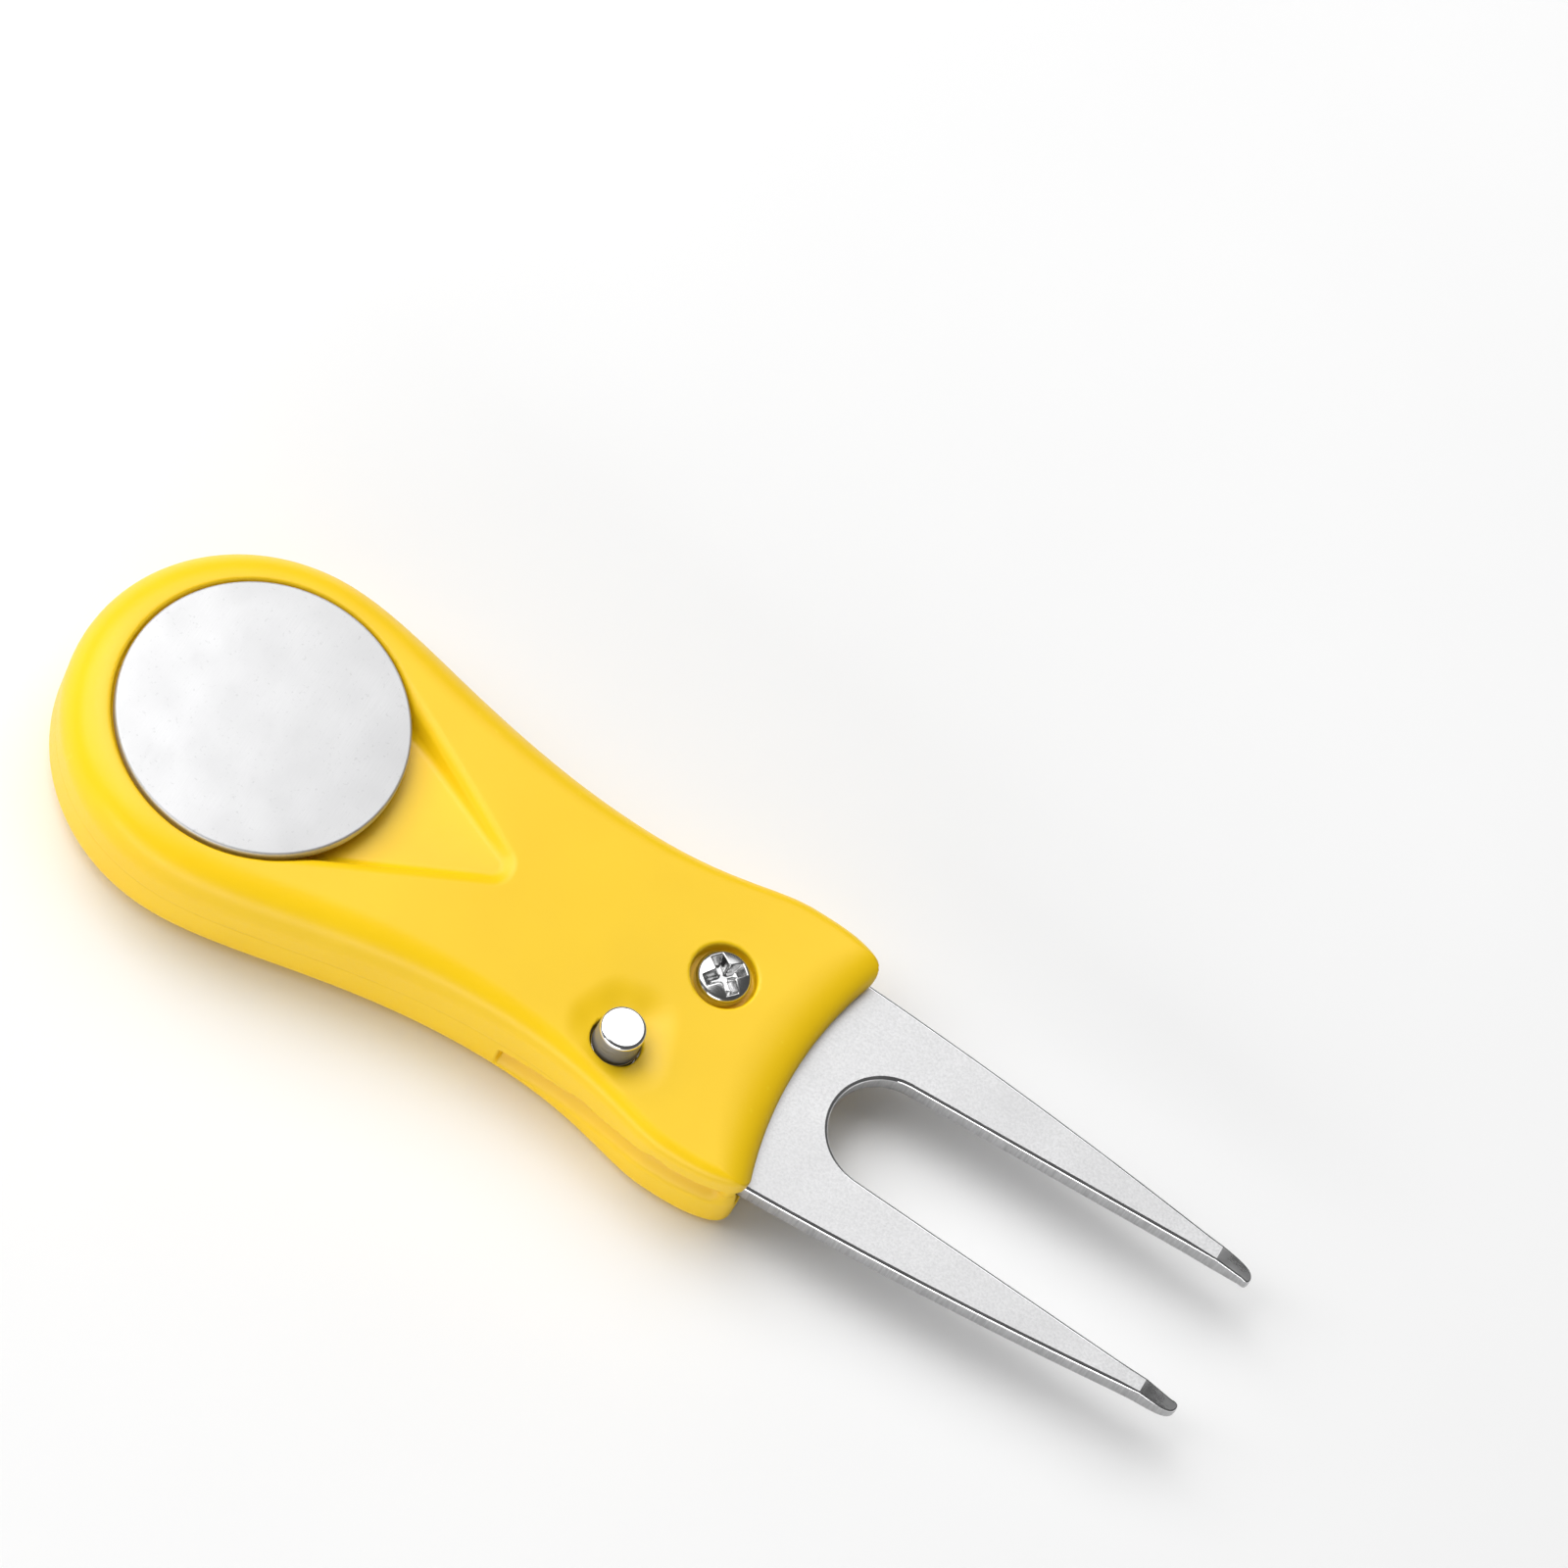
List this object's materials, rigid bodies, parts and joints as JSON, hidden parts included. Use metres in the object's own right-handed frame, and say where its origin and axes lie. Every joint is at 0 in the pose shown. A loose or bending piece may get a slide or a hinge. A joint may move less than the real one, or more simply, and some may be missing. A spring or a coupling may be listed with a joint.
{
  "type": "folding divot repair tool",
  "caption": "Pocket golf tool: a two-prong steel fork folds into a slotted plastic handle, with a sprung lock button and a magnetic ball marker.",
  "frame": {"origin": "on the handle's flat back face, under the centre of the ball marker", "axes": "+X from the ball marker to the prong tips, +Z out of the back towards the marker face, +Y towards the side that the fork folds in from"},
  "size_m": [0.111, 0.0326, 0.0121],
  "materials": {
    "yellow_plastic": "soft satin moulded plastic",
    "blasted_steel": "bead blasted, with polished edges and tips",
    "brushed_disc": "fine brushed",
    "polished_metal": "polished",
    "spring_steel": "drawn wire",
    "magnet_nickel": "nickel plate",
    "nylon": "natural nylon"
  },
  "bodies": {
    "handle": {"front_shell": "yellow_plastic", "back_shell": "yellow_plastic", "pivot_screw": "polished_metal", "pivot_barrel": "polished_metal", "upper_washer": "nylon", "lower_washer": "nylon", "marker_magnet": "magnet_nickel", "button_spring": "spring_steel"},
    "fork": {"fork": "blasted_steel", "torsion_spring": "spring_steel"},
    "button": {"lock_button": "polished_metal"},
    "marker": {"ball_marker": "brushed_disc"}
  },
  "joints": [
    {"name": "fork_fold", "type": "hinge", "parent": "handle", "child": "fork", "pos_m": [0.0436, 0.00305, 0.0053], "axis": [0, 0, 1], "range_deg": [0, 180], "stiffness_Nm_per_rad": 0.012, "springref_deg": -34.38},
    {"name": "button_press", "type": "slide", "parent": "handle", "child": "button", "axis": [0, 0, -1], "range_m": [0, 0.0025], "stiffness_N_per_m": 400, "springref_m": -0.003, "deforming": ["button_spring"]},
    {"name": "marker_lift", "type": "slide", "parent": "handle", "child": "marker", "axis": [0, 0, 1], "range_m": [0, 0.015]}
  ]
}
